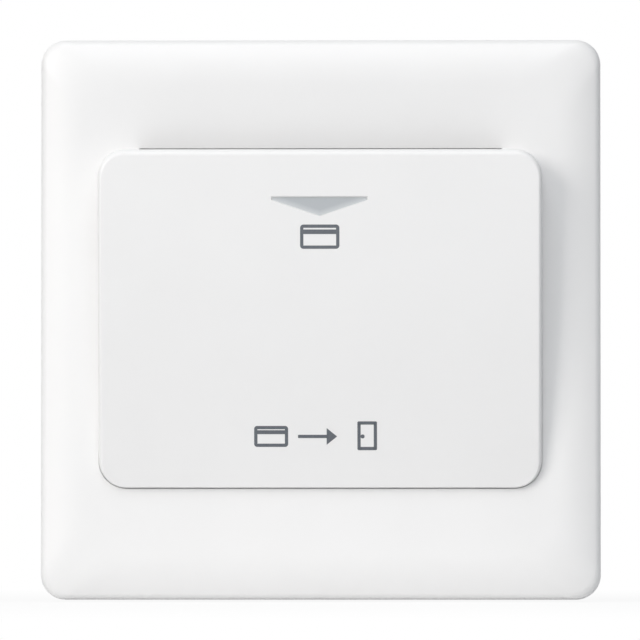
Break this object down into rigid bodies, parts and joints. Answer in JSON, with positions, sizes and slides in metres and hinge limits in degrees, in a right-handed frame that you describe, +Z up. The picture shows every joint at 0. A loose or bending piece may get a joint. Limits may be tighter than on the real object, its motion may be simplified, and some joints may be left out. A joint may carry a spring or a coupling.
{
  "type": "hotel key card switch",
  "caption": "White square wall plate with a curved card cover; a card dropped behind it swings a sprung lever that closes a contact, and a lit arrow marks the mouth.",
  "frame": {"origin": "middle between the two wall box screws, in the plane of the wall", "axes": "+X to the viewer's right, +Y into the wall, +Z up; the front faces -Y"},
  "size_m": [0.086, 0.0394, 0.086],
  "materials": {
    "white_plastic": "satin white moulding",
    "inner_white": "matt white moulding",
    "lens_grey": "smooth translucent pale grey",
    "clear_window": "clear moulding",
    "zinc_steel": "zinc plated sheet",
    "screw_steel": "zinc plated",
    "spring_steel": "drawn wire",
    "lever_white": "acetal, matt",
    "housing_grey": "fine matt texture",
    "switch_black": "matt",
    "plunger_ivory": "smooth",
    "brass": "rolled strip and machined block",
    "board_green": "solder mask",
    "led_body": "diffused epoxy",
    "resistor_tan": "lacquered",
    "diode_black": "moulded epoxy",
    "capacitor_ochre": "boxed film capacitor",
    "lead_red": "wire insulation"
  },
  "bodies": {
    "base": {"mounting_frame": "zinc_steel", "card_guide": "inner_white", "lamp_window": "clear_window", "assembly_screws": "screw_steel", "lever_pin": "screw_steel", "lever_spring": "spring_steel", "rear_housing": "housing_grey", "switch_case": "switch_black", "switch_lid": "switch_black", "switch_screws": "screw_steel", "contact_spring": "spring_steel", "common_terminal": "brass", "open_terminal": "brass", "closed_terminal": "brass", "line_clamp": "brass", "load_clamp": "brass", "terminal_screws": "screw_steel", "circuit_board": "board_green", "board_screws": "screw_steel", "led": "led_body", "resistors": "resistor_tan", "rectifier_diode": "diode_black", "dropper_capacitor": "capacitor_ochre", "lamp_leads": "lead_red"},
    "front": {"face_plate": "white_plastic", "card_cover": "white_plastic", "arrow_lens": "lens_grey", "cover_screws": "screw_steel"},
    "lever": {"card_lever": "lever_white"},
    "plunger": {"switch_plunger": "plunger_ivory"},
    "blade": {"contact_blade": "brass"}
  },
  "joints": [
    {"name": "front_pull", "type": "slide", "parent": "base", "child": "front", "axis": [0, -1, 0], "range_m": [0, 0.03]},
    {"name": "lever_hinge", "type": "hinge", "parent": "base", "child": "lever", "pos_m": [0, 0.0015, 0.002], "axis": [1, 0, 0], "range_deg": [0, 12], "stiffness_Nm_per_rad": 0.046, "springref_deg": -6.88, "deforming": ["lever_spring", "contact_spring"]},
    {"name": "plunger_slide", "type": "slide", "parent": "base", "child": "plunger", "axis": [0, 1, 0], "range_m": [0, 0.0017]},
    {"name": "blade_hinge", "type": "hinge", "parent": "base", "child": "blade", "pos_m": [0, 0.01102, 0.004], "axis": [1, 0, 0], "range_deg": [0, 10.4]}
  ],
  "couplings": [
    {"joint": "plunger_slide", "follows": "lever_hinge", "m_per_rad": 0.0074242},
    {"joint": "blade_hinge", "follows": "lever_hinge", "ratio": 0.82715}
  ]
}
